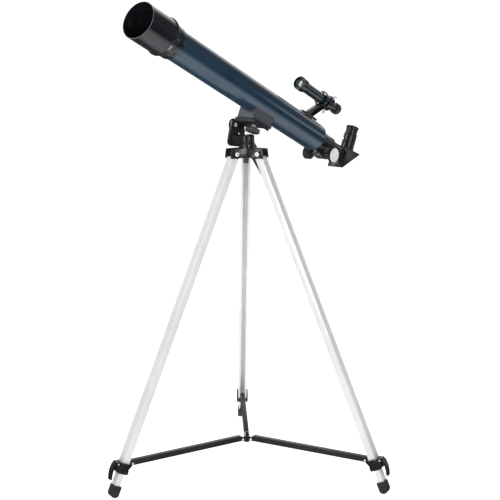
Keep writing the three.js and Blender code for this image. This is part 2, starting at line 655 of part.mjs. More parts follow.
// Finder bracket: a foot on the tube, a leaning post, and a ring with three tapped holes.
function finderBracket() {
  const tube = rod('x', TUBE_RADIUS + GAP, -240, -160, [0, 0], WIDE_ROUND);
  const footPlate = box([-226, -10, 20], [-173, 10, 33]).subtract(tube);
  const post = plateAcross([[-213, 31], [-191, 31], [-231, 70], [-251, 70]], -5.5, 5.5);
  const collar = box([-261, -15.5, FINDER_HEIGHT - 15.5], [-232, 15.5, FINDER_HEIGHT + 15.5]);
  const corners = rod('x', 18.6, -262, -231, [0, FINDER_HEIGHT], ROUND);
  const hole = rod('x', 13.5, -280, -210, [0, FINDER_HEIGHT], ROUND);
  let body = footPlate.add(post).add(collar.intersect(corners)).subtract(hole);
  for (const turn of [60, -60, 180]) {
    const bore = rod('z', 1.5 + BORE_PLAY, 10, 20, [FINDER_SCREWS, 0]).rotate([-turn, 0, 0]);
    body = body.subtract(bore.translate([0, 0, FINDER_HEIGHT]));
  }
  return body;
}

// Adjusting screw of the finder, turned round its ring.
function finderScrew(turn) {
  const shank = rod('z', 1.5, 11.9, 21, [FINDER_SCREWS, 0]);
  const head = rod('z', 3.4, 19.4, 25, [FINDER_SCREWS, 0]);
  return shank.add(head).rotate([-turn, 0, 0]).translate([0, 0, FINDER_HEIGHT]);
}

// Finder tube: a wide cell in front, a body, and a thread for the eyepiece at the rear.
function finderTube() {
  return turned('x', [
    [8, FINDER_REAR + 6], [8.6, FINDER_REAR + 6], [9, -286], [9, -249], [11.5, -246], [11.5, -166],
    [14.5, -164], [14.5, FINDER_FRONT - 1], [13.8, FINDER_FRONT], [12.6, FINDER_FRONT], [12.6, -156],
    [11.6, -157], [10, -166], [10, -245], [8, -248], [8, FINDER_REAR + 6],
  ], [0, FINDER_HEIGHT]);
}

function finderLens() {
  return turned('x', [
    [0, -155.9], [12.2, -155.5], [12.2, -152.6], [6, -151.4], [0, -151],
  ], [0, FINDER_HEIGHT]);
}

// Screw-in finder eyepiece with its lens in one piece.
function finderEyepiece() {
  return turned('x', [
    [0, FINDER_REAR + 2], [6, FINDER_REAR + 2], [7, FINDER_REAR], [11, FINDER_REAR], [12, FINDER_REAR + 1.5],
    [12, FINDER_REAR + 12], [11, FINDER_REAR + 13.5], [9.4, FINDER_REAR + 13.5], [9.4, FINDER_REAR + 5.6],
    [0, FINDER_REAR + 5.6],
  ], [0, FINDER_HEIGHT]);
}

function addTiltHead(head) {
  addPart(head, 'pan_head', panHead(), BLACK_PLASTIC);
  addPart(head, 'tilt_bolt', tiltBolt().translate([0, 0, TILT_HEIGHT]), CHROME);
  addPart(head, 'tilt_nut', tiltNut().translate([0, 0, TILT_HEIGHT]), CHROME);
  addPart(head, 'handle_rod', handleRod().translate([0, 0, TILT_HEIGHT]), CHROME);
  addPart(head, 'handle_grip', handleGrip().translate([0, 0, TILT_HEIGHT]), RUBBER);
}

function addOpticalTube(tube) {
  addPart(tube, 'tilt_plate', tiltPlate(), GREY_PLASTIC);
  addPart(tube, 'camera_screw', cameraScrew(), BLACK_PLASTIC);
  addPart(tube, 'saddle', saddle(), BLUE_PAINT);
  addPart(tube, 'main_tube', mainTube(), BLUE_PAINT);
  addPart(tube, 'lens_cell', lensCell(), BLACK_PLASTIC);
  addPart(tube, 'objective_lens', objectiveLens(), GLASS);
  addPart(tube, 'dew_shield', dewShield(), BLACK_PLASTIC);
  addPart(tube, 'focuser_body', focuserBody(), BLACK_PLASTIC);
  addPart(tube, 'drawtube', drawtube(), BLACK_PLASTIC);
  addPart(tube, 'focus_shaft', focusShaft(), CHROME);
  addPart(tube, 'focus_knob_left', focusKnob(1), RUBBER);
  addPart(tube, 'focus_knob_cap', knobCap(), CHROME);
  addPart(tube, 'focus_knob_right', focusKnob(-1), RUBBER);
  addPart(tube, 'diagonal_body', diagonalBody(), BLACK_PLASTIC);
  addPart(tube, 'diagonal_mirror', diagonalMirror(), MIRROR);
  addPart(tube, 'eyepiece_barrel', eyepieceBarrel(), BLACK_PLASTIC);
  addPart(tube, 'eyepiece_lens', eyeLens(), GLASS);
  addPart(tube, 'eyepiece_screw', eyepieceScrew(), CHROME);
  addPart(tube, 'finder_bracket', finderBracket(), BLACK_PLASTIC);
  addPart(tube, 'finder_tube', finderTube(), BLACK_PLASTIC);
  addPart(tube, 'finder_lens', finderLens(), GLASS);
  addPart(tube, 'finder_eyepiece', finderEyepiece(), BLACK_PLASTIC);
  [60, -60, 180].forEach((turn, i) => addPart(tube, `finder_screw_${i + 1}`, finderScrew(turn), CHROME));
}

// ---- Assembly --------------------------------------------------------------------------------

const telescope = new THREE.Group();
addPart(telescope, 'tripod_hub', hub(), BLACK_PLASTIC);
for (const [side, azimuth] of LEGS) addLeg(telescope, side, azimuth);
addPart(telescope, 'spreader_hub', spreaderHub(), BLACK_PLASTIC);

const panFrame = new THREE.Group();
panFrame.rotation.z = PAN_AZIMUTH;
addTiltHead(panFrame);

const tubeFrame = new THREE.Group();
tubeFrame.position.z = TUBE_HEIGHT;
tubeFrame.rotation.y = -ELEVATION;
addOpticalTube(tubeFrame);
panFrame.add(tubeFrame);
telescope.add(panFrame);

// The origin is on the ground, below the middle of the whole object's box.
telescope.updateMatrixWorld(true);
const bounds = new THREE.Box3().setFromObject(telescope, true);
const middle = bounds.getCenter(new THREE.Vector3());
telescope.position.set(-middle.x, -middle.y, -bounds.min.z);

export default telescope;
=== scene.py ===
"""Looks of a small refracting telescope on a folding tripod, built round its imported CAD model."""

import json
import math

import bmesh
import bpy
from mathutils import Matrix, Vector

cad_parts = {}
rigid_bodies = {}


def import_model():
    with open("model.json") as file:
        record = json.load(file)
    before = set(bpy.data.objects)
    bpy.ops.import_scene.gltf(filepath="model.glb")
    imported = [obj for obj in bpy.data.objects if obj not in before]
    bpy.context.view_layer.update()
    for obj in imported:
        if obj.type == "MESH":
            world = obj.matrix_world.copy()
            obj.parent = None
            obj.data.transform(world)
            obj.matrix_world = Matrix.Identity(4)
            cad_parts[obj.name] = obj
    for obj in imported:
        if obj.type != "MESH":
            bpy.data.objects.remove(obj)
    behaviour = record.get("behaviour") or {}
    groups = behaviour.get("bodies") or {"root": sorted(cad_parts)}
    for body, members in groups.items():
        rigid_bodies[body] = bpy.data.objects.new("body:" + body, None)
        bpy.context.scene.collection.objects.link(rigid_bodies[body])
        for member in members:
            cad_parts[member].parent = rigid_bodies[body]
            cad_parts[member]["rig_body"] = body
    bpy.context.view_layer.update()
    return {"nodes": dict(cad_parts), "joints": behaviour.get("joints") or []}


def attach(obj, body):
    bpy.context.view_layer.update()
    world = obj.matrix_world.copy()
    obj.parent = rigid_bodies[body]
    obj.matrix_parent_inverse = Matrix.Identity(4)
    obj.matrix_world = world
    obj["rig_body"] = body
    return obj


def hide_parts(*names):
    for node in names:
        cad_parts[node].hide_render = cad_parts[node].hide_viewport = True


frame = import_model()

JOINTS = {joint["name"]: joint for joint in frame["joints"]}
MM = 0.001

# ---- Driving dimensions, in millimetres ------------------------------------------------------
TILT_HEIGHT = 712
WALL_INSIDE = -27.5              # near face of the wall that holds the tilt bolt
LUG_OUTSIDE = -36.9              # far face of the tilt plate's lug
SCREW_PLACE = -50                # camera screw, along the tube
SCREW_KNOB = (-65.5, -57)        # its knob's lowest and highest faces
LEG_BOLT_HALF = 14               # half a leg bolt's shank
ARM_LENGTH = 255                 # between an arm's two pins
ARM_HALF = 5                     # half an arm's width, along its pins
CHEEK_OUTSIDE = 8.9              # outer face of a clamp's cheek
HANDLE_ROD = (12, 78)            # from the tilt bolt, down the handle
GRIP_RIBS = 9
GRIP_RIBS_START = 92
GRIP_RIB_PITCH = 5
TUBE_HEIGHT = 778.05             # where the tube's axis crosses the tripod's axis
TUBE_RADIUS = 30
TUBE_REAR = -250
TUBE_FRONT = 246
REAR_ROUND = 6                   # the round on the tube's rear edge
CELL_RADIUS = 33
CELL_SCREWS = 241                # along the tube
SHIELD_REAR = 258.3
SHIELD_FRONT = 328.5
SHIELD_RADIUS = 36
SHIELD_GROOVES = 8               # inside the dew shield
SHIELD_GROOVE_PITCH = 6
FOCUS_SHAFT = (-285, -24)        # along the tube, up from its axis
DRAWTUBE_RADIUS = 16
DRAWTUBE_REAR = -345
RACK_TEETH = 66
RACK_PITCH = 1.6
RACK_START = -334
HOLDER_AXIS = -369               # eyepiece holder, along the tube
EYEPIECE_RIBS = 5
EYEPIECE_RIBS_START = 55.6
EYEPIECE_RIB_PITCH = 1.9
FINDER_HEIGHT = 82               # the finder's axis above the tube's
FINDER_FRONT = -147
FINDER_REAR = -297
FINDER_SCREWS = -254
FINDER_SCREW_ANGLES = (60, -60, 180)   # degrees from the top of the finder's ring
LEG_SIDES = ("left", "right", "back")

# ---- Finish of the meshes --------------------------------------------------------------------
SHARP_ANGLE = math.radians(35)   # edges sharper than this stay crisp when shaded
BEVEL_ANGLE = math.radians(40)   # edges sharper than this are rounded
BEVEL_STEPS = 3
FLAT_ANGLE = math.radians(1)     # CAD facets flatter than this become one face
MERGE_DISTANCE = 1e-6            # metres
CAD_MERGE_DISTANCE = 2e-6        # metres
FINE_SIDES = 160                 # facets round the widest turned shapes
ON_AXIS = 1e-6                   # a smaller radius than this is on the axis

# ---- Finish of the surfaces ------------------------------------------------------------------
CLOUD_SCALE = 14                 # slow colour variation, in ripples per metre
NOISE_DETAIL = 4
# paler pointed edges in every finish: edge wear, and a painted highlight on the edges
EDGE_WEAR_AND_HIGHLIGHT = 0.35
WORN_AND_HIGHLIT_POINTEDNESS = (0.52, 0.6)   # where the paler edges start, and where they are palest
BUMP_DISTANCE = 0.0003           # metres
COAT_ROUGHNESS = 0.12

# ---- Camera and studio -----------------------------------------------------------------------
CAMERA_PLACE = (-86.95, -2417.3, 962.5)   # millimetres from the foot of the tripod's axis
CAMERA_AZIMUTH = math.radians(87.78)
CAMERA_PITCH = math.radians(-11.71)
CAMERA_LENS = 88.2
SENSOR_WIDTH = 36
CLIP_END = 200                   # metres
ROOM_GLOW = 0.12                 # strength of the world on the camera's side
BACKDROP_GLOW = 1.4              # and behind the telescope
BELOW_GLOW = 0.08                # what is left of both below the horizon
TABLE_GLOW = 1.1                 # the pale table below the camera's side
FLOOR_GLOW = 0.8
LIGHT_TARGET = (0, 0, 0.55)      # metres
SOFT_BOXES = {                   # azimuth, elevation, distance, width, height, power
    "soft_box_left": (-37, 14, 3.2, 0.5, 3.0, 40),
    "soft_box_right": (33, 14, 3.4, 0.5, 3.0, 36),
    "soft_box_top": (-82, 36, 3.0, 1.2, 1.2, 26),
    "soft_box_side": (101, -4, 2.6, 0.9, 0.5, 1.2),
}


# ---- Frames ----------------------------------------------------------------------------------

def turn(axis, angle):
    return Matrix.Rotation(angle, 4, axis)


def shift(x, y, z):
    return Matrix.Translation((x, y, z))


def metres():
    return Matrix.Scale(MM, 4)


def tripod_frame():
    """Millimetres from the ground below the tripod's axis, with the axes of the CAD."""
    x, y, _ = JOINTS["pan"]["pos_m"]
    ground = JOINTS["tilt"]["pos_m"][2] - TILT_HEIGHT * MM
    return shift(x, y, ground) @ metres()


def pan_frame():
    """As the tripod's frame, with +X towards the front of the telescope."""
    along = Vector(JOINTS["dew_shield_slide"]["axis"])
    return tripod_frame() @ turn("Z", math.atan2(along.y, along.x))


def tube_frame():
    """Origin on the tube's axis, +X along it to the front, +Z away from the mount."""
    along = Vector(JOINTS["dew_shield_slide"]["axis"])
    return pan_frame() @ shift(0, 0, TUBE_HEIGHT) @ turn("Y", -math.asin(along.z))


def joint_frame(name):
    """Origin at a hinge, +Y along its axis, and +Z as high as it goes."""
    place = Vector(JOINTS[name]["pos_m"])
    along = Vector(JOINTS[name]["axis"]).normalized()
    up = Vector((0, 0, 1))
    across = along.cross(up).normalized()
    basis = Matrix((across, along, across.cross(along))).transposed().to_4x4()
    return Matrix.Translation(place) @ basis @ metres()


TRIPOD = tripod_frame()
PAN = pan_frame()
TUBE = tube_frame()


# ---- Shapes ----------------------------------------------------------------------------------

def rounded(points, radius, closed=True, steps=3):
    """The outline with its corners turned into short curves."""
    result = []
    count = len(points)
    for i, point in enumerate(points):
        here = Vector(point)
        if not closed and i in (0, count - 1):
            result.append(here)
            continue
        back = Vector(points[i - 1]) - here
        ahead = Vector(points[(i + 1) % count]) - here
        reach = min(radius, 0.45 * back.length, 0.45 * ahead.length)
        start = here + back.normalized() * reach
        end = here + ahead.normalized() * reach
        for k in range(steps + 1):
            t = k / steps
            result.append(start * (1 - t) ** 2 + here * (2 * t * (1 - t)) + end * t ** 2)
    return result


def place_on(axis, around, along, across):
    """A point of a turned shape: around is its place in the plane across the axis."""
    u, v = around[0] + across[0], around[1] + across[1]
    return {"x": (along, u, v), "y": (u, along, v), "z": (u, v, along)}[axis]


def turned(axis, profile, across=(0, 0), sides=96, edge=0.3, wave=None):
    """A turned shape. profile lists (radius, place along the axis) and starts and ends on the axis,
    or closes on itself. edge rounds its corners. wave(angle, radius) scales the radius, for knurls
    and flutes."""
    on_axis = profile[0][0] == 0
    points = rounded(profile, edge, closed=not on_axis)
    shape = bmesh.new()
    rows = []
    for radius, along in points:
        if radius < ON_AXIS:
            rows.append([shape.verts.new(place_on(axis, (0, 0), along, across))] * sides)
            continue
        row = []
        for k in range(sides):
            angle = 2 * math.pi * k / sides
            reach = radius * (wave(angle, radius) if wave else 1)
            around = (reach * math.cos(angle), reach * math.sin(angle))
            row.append(shape.verts.new(place_on(axis, around, along, across)))
        rows.append(row)
    following = rows[1:] if on_axis else rows[1:] + rows[:1]
    for low, high in zip(rows, following):
        for k in range(sides):
            corners = [low[k], low[(k + 1) % sides], high[(k + 1) % sides], high[k]]
            distinct = list(dict.fromkeys(corners))
            if len(distinct) > 2:
                shape.faces.new(distinct)
    bmesh.ops.recalc_face_normals(shape, faces=shape.faces)
    return shape


def rod(axis, radius, low, high, across=(0, 0), sides=48, edge=0.3, wave=None):
    """A round bar from low to high along its axis."""
    profile = [(0, low), (radius, low), (radius, high), (0, high)]
    return turned(axis, profile, across, sides, edge, wave)


def flutes(count, depth):
    """A wave for turned(): shallow grooves round a knob's rim."""
    def wave(angle, radius):
        return 1 - depth / radius * (0.5 + 0.5 * math.cos(count * angle)) ** 2
    return wave


def extruded(plane, outline, low, high):
    """An outline in the 'xz' or 'xy' plane, thick from low to high along the third axis."""
    def corner(point, depth):
        return (point[0], depth, point[1]) if plane == "xz" else (point[0], point[1], depth)
    shape = bmesh.new()
    bottom = [shape.verts.new(corner(p, low)) for p in outline]
    top = [shape.verts.new(corner(p, high)) for p in outline]
    shape.faces.new(bottom)
    shape.faces.new(top)
    for k in range(len(outline)):
        n = (k + 1) % len(outline)
        shape.faces.new((bottom[k], bottom[n], top[n], top[k]))
    bmesh.ops.recalc_face_normals(shape, faces=shape.faces)
    return shape


def block(low, high):
    """A box between its lowest and highest corners."""
    outline = [(low[0], low[1]), (high[0], low[1]), (high[0], high[1]), (low[0], high[1])]
    return extruded("xy", outline, low[2], high[2])


def joined(*shapes):
    """Several closed shapes as one."""
    whole = shapes[0]
    for extra in shapes[1:]:
        mesh = bpy.data.meshes.new("extra")
        extra.to_mesh(mesh)
        whole.from_mesh(mesh)
        bpy.data.meshes.remove(mesh)
        extra.free()
    return whole


def helper_object(shape):
    """A passing object that cut() works on."""
    mesh = bpy.data.meshes.new("helper")
    shape.to_mesh(mesh)
    shape.free()
    helper = bpy.data.objects.new("helper", mesh)
    bpy.context.scene.collection.objects.link(helper)
    return helper


def cut(body, *tools):
    """The body with the tools cut away from it."""
    base = helper_object(body)
    helpers = [helper_object(tool) for tool in tools]
    for helper in helpers:
        modifier = base.modifiers.new("cut", "BOOLEAN")
        modifier.object = helper
        modifier.operation = "DIFFERENCE"
        modifier.solver = "EXACT"
    bpy.context.view_layer.update()
    evaluated = base.evaluated_get(bpy.context.evaluated_depsgraph_get())
    mesh = bpy.data.meshes.new_from_object(evaluated)
    shape = bmesh.new()
    shape.from_mesh(mesh)
    for unused in [base, *helpers]:
        bpy.data.objects.remove(unused)
    bpy.data.meshes.remove(mesh)
    return shape


# ---- Pieces ----------------------------------------------------------------------------------

def add_piece(name, shape, place, body, material, stands_for=(), edge=0.0):
    """A shape in millimetres becomes a shown piece that rides on a body."""
    shape.transform(place)
    add_world_piece(name, shape, body, material, stands_for, edge)


def add_world_piece(name, shape, body, material, stands_for=(), edge=0.0):
    """As add_piece, for a shape that is in metres and in place already."""
    bmesh.ops.remove_doubles(shape, verts=shape.verts, dist=MERGE_DISTANCE)
    bmesh.ops.recalc_face_normals(shape, faces=shape.faces)
    mesh = bpy.data.meshes.new(name)
    shape.to_mesh(mesh)
    shape.free()
    mesh.materials.append(material)
    piece = bpy.data.objects.new(name, mesh)
    bpy.context.scene.collection.objects.link(piece)
    if edge:
        soften(piece, edge)
    piece.data.shade_smooth()
    piece.data.set_sharp_from_angle(angle=SHARP_ANGLE)
    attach(piece, body)
    if stands_for:
        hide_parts(*stands_for)


def soften(piece, edge):
    """Small rounds on the sharp edges, made part of the mesh. edge is in millimetres."""
    bevel = piece.modifiers.new("edges", "BEVEL")
    bevel.width = edge * MM
    bevel.segments = BEVEL_STEPS
    bevel.limit_method = "ANGLE"
    bevel.angle_limit = BEVEL_ANGLE
    bpy.context.view_layer.update()
    evaluated = piece.evaluated_get(bpy.context.evaluated_depsgraph_get())
    mesh = bpy.data.meshes.new_from_object(evaluated)
    piece.modifiers.clear()
    piece.data = mesh


def cad_shape(node):
    """A CAD node's own shape, with its flat faces whole again."""
    shape = bmesh.new()
    shape.from_mesh(frame["nodes"][node].data)
    bmesh.ops.remove_doubles(shape, verts=shape.verts, dist=CAD_MERGE_DISTANCE)
    bmesh.ops.dissolve_limit(shape, angle_limit=FLAT_ANGLE, verts=shape.verts, edges=shape.edges)
    return shape


def add_softened_node(node, material, edge):
    """A piece with a CAD node's shape and its edges rounded."""
    body = frame["nodes"][node]["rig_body"]
    add_world_piece(f"{node}_finished", cad_shape(node), body, material, [node], edge=edge)


# ---- Materials -------------------------------------------------------------------------------

def new_material(name, slot, roughness, metallic=0.0):
    material = bpy.data.materials.new(name)
    material.use_nodes = True
    material["slot"] = slot
    shader = material.node_tree.nodes["Principled BSDF"]
    shader.inputs["Roughness"].default_value = roughness
    shader.inputs["Metallic"].default_value = metallic
    return material, material.node_tree, shader


def link(tree, source, target):
    tree.links.new(source, target)


def object_noise(tree, scale, detail, stretch=(1, 1, 1)):
    """Noise fixed to the object, from 0 to 1. scale is in ripples per metre."""
    place = tree.nodes.new("ShaderNodeTexCoord")
    mapping = tree.nodes.new("ShaderNodeMapping")
    mapping.inputs["Scale"].default_value = stretch
    noise = tree.nodes.new("ShaderNodeTexNoise")
    noise.inputs["Scale"].default_value = scale
    noise.inputs["Detail"].default_value = detail
    link(tree, place.outputs["Object"], mapping.inputs["Vector"])
    link(tree, mapping.outputs["Vector"], noise.inputs["Vector"])
    return noise.outputs["Fac"]


def spread(tree, factor, low, high, steps=(0.35, 0.65)):
    """Maps a factor onto two values or two colours, from the first step to the second."""
    if isinstance(low, (int, float)):
        node = tree.nodes.new("ShaderNodeMapRange")
        node.inputs["From Min"].default_value = steps[0]
        node.inputs["From Max"].default_value = steps[1]
        node.inputs["To Min"].default_value = low
        node.inputs["To Max"].default_value = high
        link(tree, factor, node.inputs["Value"])
        return node.outputs["Result"]
    node = tree.nodes.new("ShaderNodeValToRGB")
    node.color_ramp.elements[0].position = steps[0]
    node.color_ramp.elements[0].color = (*low, 1)
    node.color_ramp.elements[1].position = steps[1]
    node.color_ramp.elements[1].color = (*high, 1)
    link(tree, factor, node.inputs["Fac"])
    return node.outputs["Color"]


def worn_and_highlit_edges(tree, colour, worn_highlit_colour, amount):
    """Mixes a paler colour in where the surface is most pointed: edge wear, and a painted highlight
    on the edges.
    """
    geometry = tree.nodes.new("ShaderNodeNewGeometry")
    mask = spread(tree, geometry.outputs["Pointiness"], 0.0, amount, WORN_AND_HIGHLIT_POINTEDNESS)
    mix = tree.nodes.new("ShaderNodeMix")
    mix.data_type = "RGBA"
    mix.inputs["B"].default_value = (*worn_highlit_colour, 1)
    link(tree, mask, mix.inputs["Factor"])
    link(tree, colour, mix.inputs["A"])
    return mix.outputs["Result"]


def add_bump(tree, shader, height, strength, distance):
    bump = tree.nodes.new("ShaderNodeBump")
    bump.inputs["Strength"].default_value = strength
    bump.inputs["Distance"].default_value = distance
    link(tree, height, bump.inputs["Height"])
    link(tree, bump.outputs["Normal"], shader.inputs["Normal"])


def surface(name, slot, dark, pale, roughness, metallic=0.0, grain=900, bump=0.05, coat=0.0,
            worn_highlit_colour=None, stretch=(1, 1, 1)):
    """A finish with slow colour variation, fine grain and paler edges, which are edge wear and a
    painted edge highlight.
    """
    material, tree, shader = new_material(name, slot, roughness[0], metallic)
    cloud = object_noise(tree, CLOUD_SCALE, NOISE_DETAIL)
    colour = spread(tree, cloud, dark, pale)
    worn_highlit_colour = worn_highlit_colour or [min(1, 1.8 * c + 0.01) for c in pale]
    colour = worn_and_highlit_edges(tree, colour, worn_highlit_colour, EDGE_WEAR_AND_HIGHLIGHT)
    link(tree, colour, shader.inputs["Base Color"])
    fine = object_noise(tree, grain, NOISE_DETAIL, stretch)
    link(tree, spread(tree, fine, *roughness), shader.inputs["Roughness"])
    add_bump(tree, shader, fine, bump, BUMP_DISTANCE)
    shader.inputs["Coat Weight"].default_value = coat
    shader.inputs["Coat Roughness"].default_value = COAT_ROUGHNESS
    return material


def glass(name, slot, tint):
    """Coated lens glass, clear enough to see the dark inside."""
    material, tree, shader = new_material(name, slot, 0.03)
    cloud = object_noise(tree, 9, 2)
    paler = [min(1, 1.15 * c) for c in tint]
    link(tree, spread(tree, cloud, tint, paler), shader.inputs["Base Color"])
    link(tree, spread(tree, cloud, 0.02, 0.06), shader.inputs["Roughness"])
    shader.inputs["Transmission Weight"].default_value = 0.9
    shader.inputs["Coat Weight"].default_value = 0.6
    shader.inputs["IOR"].default_value = 1.52
    return material


BLUE_PAINT = surface(
    "blue_paint", "blue_paint", dark=(0.012, 0.034, 0.060), pale=(0.017, 0.043, 0.074),
    roughness=(0.12, 0.18), metallic=0.2, grain=700, bump=0.03, coat=0.6)
SADDLE_PAINT = surface(
    "saddle_paint", "blue_paint", dark=(0.040, 0.046, 0.058), pale=(0.052, 0.058, 0.070),
    roughness=(0.38, 0.50), grain=1200, bump=0.05)
BLACK_PLASTIC = surface(
    "black_plastic", "black_plastic", dark=(0.009, 0.009, 0.011), pale=(0.015, 0.015, 0.018),
    roughness=(0.22, 0.32), grain=1600, bump=0.04, coat=0.15)
GLOSS_BLACK = surface(
    "gloss_black", "black_plastic", dark=(0.007, 0.008, 0.011), pale=(0.011, 0.013, 0.017),
    roughness=(0.10, 0.16), grain=1000, bump=0.01, coat=0.5)
FINDER_PAINT = surface(
    "finder_paint", "black_plastic", dark=(0.006, 0.013, 0.018), pale=(0.009, 0.020, 0.027),
    roughness=(0.12, 0.20), grain=1000, bump=0.01, coat=0.5)
DULL_BLACK = surface(
    "dull_black", "black_plastic", dark=(0.006, 0.006, 0.007), pale=(0.011, 0.011, 0.012),
    roughness=(0.50, 0.65), grain=1800, bump=0.1)
KNURLED_BLACK = surface(
    "knurled_black", "black_plastic", dark=(0.045, 0.045, 0.047), pale=(0.075, 0.074, 0.075),
    roughness=(0.24, 0.34), grain=1400, bump=0.06)
BLACK_STEEL = surface(
    "black_steel", "black_steel", dark=(0.012, 0.011, 0.011), pale=(0.020, 0.018, 0.018),
    roughness=(0.40, 0.52), metallic=0.1, grain=800, bump=0.05)
ALUMINIUM = surface(
    "leg_aluminium", "leg_aluminium", dark=(0.79, 0.79, 0.80), pale=(0.87, 0.87, 0.87),
    roughness=(0.28, 0.40), metallic=0.25, grain=500, bump=0.03, stretch=(1, 1, 0.04),
    worn_highlit_colour=(0.95, 0.95, 0.96))
BRIGHT_STEEL = surface(
    "bright_steel", "bright_steel", dark=(0.74, 0.74, 0.76), pale=(0.84, 0.84, 0.85),
    roughness=(0.12, 0.22), metallic=1.0, grain=900, bump=0.03, worn_highlit_colour=(0.95, 0.95, 0.95))
PALE_STEEL = surface(
    "pale_steel", "bright_steel", dark=(0.84, 0.84, 0.84), pale=(0.92, 0.92, 0.92),
    roughness=(0.30, 0.42), metallic=0.3, grain=900, bump=0.03, worn_highlit_colour=(0.95, 0.95, 0.95))
BLACK_RUBBER = surface(
    "black_rubber", "black_rubber", dark=(0.012, 0.011, 0.013), pale=(0.020, 0.018, 0.021),
    roughness=(0.45, 0.60), grain=1300, bump=0.2)
LENS_GLASS = glass("lens_glass", "lens_glass", tint=(0.55, 0.68, 0.72))


# ---- Tripod ----------------------------------------------------------------------------------

def add_leg(side):
    add_softened_node(f"leg_cap_{side}", BLACK_PLASTIC, 0.5)
    add_softened_node(f"upper_leg_{side}", ALUMINIUM, 0.3)
    add_softened_node(f"lower_leg_{side}", ALUMINIUM, 0.3)
    add_softened_node(f"clamp_{side}", BLACK_PLASTIC, 0.4)
    add_softened_node(f"flip_lever_{side}", BLACK_PLASTIC, 0.8)
    add_softened_node(f"foot_{side}", BLACK_RUBBER, 1.0)
    add_softened_node(f"spreader_arm_{side}", BLACK_STEEL, 0.3)
    add_leg_bolt(side)
    add_arm_pin(side)
    add_lever_pin(side)


def add_leg_bolt(side):
    """A pale bolt with domed heads, each with a small recess in its middle and a dull black disc in
    the recess as painted shade.
    """
    shape = rod("y", 2.5, -LEG_BOLT_HALF, LEG_BOLT_HALF)
    recess_shade_discs = []
    for end in (-1, 1):
        head = turned("y", [
            (0, 14.3 * end), (1.1, 14.3 * end), (1.3, 14.9 * end), (3.6, 14.6 * end),
            (4.5, 13.9 * end), (4.5, 13.3 * end), (0, 13.3 * end)], sides=48, edge=0.15)
        shape = joined(shape, head)
        low, high = sorted((14.2 * end, 14.5 * end))
        # a dull black disc in the head's recess: painted shade
        recess_shade_discs.append(rod("y", 1.1, low, high, sides=24, edge=0.05))
    place = joint_frame(f"leg_fold_{side}")
    add_piece(f"leg_bolt_{side}_finished", shape, place, "tripod_hub", PALE_STEEL,
              [f"leg_bolt_{side}"])
    add_piece(f"leg_bolt_{side}_recess", joined(*recess_shade_discs), place, "tripod_hub", DULL_BLACK)


def add_arm_pin(side):
    """The pin at an arm's outer end, and the rivet heads at its inner end."""
    def head(low, high):
        face = low + 0.7 * (high - low)
        profile = [(0, high), (1.6, high), (2.4, face), (2.4, low), (0, low)]
        return turned("y", profile, sides=32, edge=0.2)
    place = joint_frame(f"arm_fold_{side}")
    pin = joined(
        rod("y", 1.5, -6, 6),
        head(-ARM_HALF - 0.3, -ARM_HALF - 1.5),
        head(ARM_HALF + 0.3, ARM_HALF + 1.5),
    )
    add_piece(f"arm_pin_{side}_finished", pin, place, f"leg_{side}", PALE_STEEL,
              [f"arm_pin_{side}"])
    rivet = joined(head(-ARM_HALF, -ARM_HALF - 1.1), head(ARM_HALF, ARM_HALF + 1.1))
    inner = place @ shift(-ARM_LENGTH, 0, 0)
    add_piece(f"arm_rivet_{side}", rivet, inner, f"spreader_arm_{side}", PALE_STEEL)


def add_lever_pin(side):
    """Pale steel ends on the lever's pin, partly real pin ends and partly a painted highlight."""
    tip = CHEEK_OUTSIDE + 0.6
    ends = joined(
        rod("y", 1.6, -tip - 0.5, -tip + 0.2, sides=24),
        rod("y", 1.6, tip - 0.2, tip + 0.5, sides=24),
    )
    place = joint_frame(f"lever_open_{side}")
    add_piece(f"lever_pin_{side}", ends, place, f"flip_lever_{side}", PALE_STEEL)


def add_tripod():
    add_softened_node("tripod_hub", BLACK_PLASTIC, 0.5)
    add_softened_node("spreader_hub", BLACK_PLASTIC, 0.3)
    for side in LEG_SIDES:
        add_leg(side)


# ---- Head ------------------------------------------------------------------------------------

def add_camera_screw():
    """A grooved knob under the tilt plate, with a pale collar above it."""
    low, high = SCREW_KNOB
    profile = [(0, low), (13.4, low), (15, low + 1.3), (15, high - 1.3), (13.8, high), (0, high)]
    knob = joined(
        turned("z", profile, (SCREW_PLACE, 0), 144, wave=flutes(36, 0.9)),
        rod("z", 3.2, -57.2, -38, (SCREW_PLACE, 0)),
    )
    add_piece("camera_screw_finished", knob, TUBE, "camera_screw", KNURLED_BLACK,
              ["camera_screw"])
    collar = turned("z", [(3.4, -56.9), (5, -56.9), (5, -49.8), (3.4, -49.8)], (SCREW_PLACE, 0))
    add_piece("camera_screw_collar", collar, TUBE, "camera_screw", PALE_STEEL)


def handle_place():
    """+X runs down the handle, from beside the tilt bolt."""
    joint = JOINTS["handle_twist"]
    along = Vector(joint["axis"]).normalized()
    across = along.cross(Vector((0, 0, 1))).normalized()
    basis = Matrix((along, across, along.cross(across))).transposed().to_4x4()
    return Matrix.Translation(joint["pos_m"]) @ basis @ metres()


def add_handle():
    """A bright rod with a ribbed rubber grip."""
    place = handle_place()
    add_piece("handle_rod_finished", rod("x", 4, *HANDLE_ROD), place, "pan_handle", BRIGHT_STEEL,
              ["handle_rod"])
    ribs = []
    for k in range(GRIP_RIBS):
        start = GRIP_RIBS_START + GRIP_RIB_PITCH * k
        outer = 11.2 + 0.06 * k
        inner = outer - 0.5
        ribs += [(outer, start), (outer, start + 1.6), (inner, start + 2.2), (inner, start + 4.4)]
    profile = [
        (0, 70), (9.5, 70), (11, 71.5), (11.1, 90), *ribs, (11.8, 139), (12, 146), (11.5, 152),
        (9.5, 156.5), (6, 159.2), (0, 160)]
    grip = turned("x", profile, sides=64, edge=0.4)
    add_piece("handle_grip_finished", grip, place, "pan_handle", BLACK_RUBBER, ["handle_grip"])


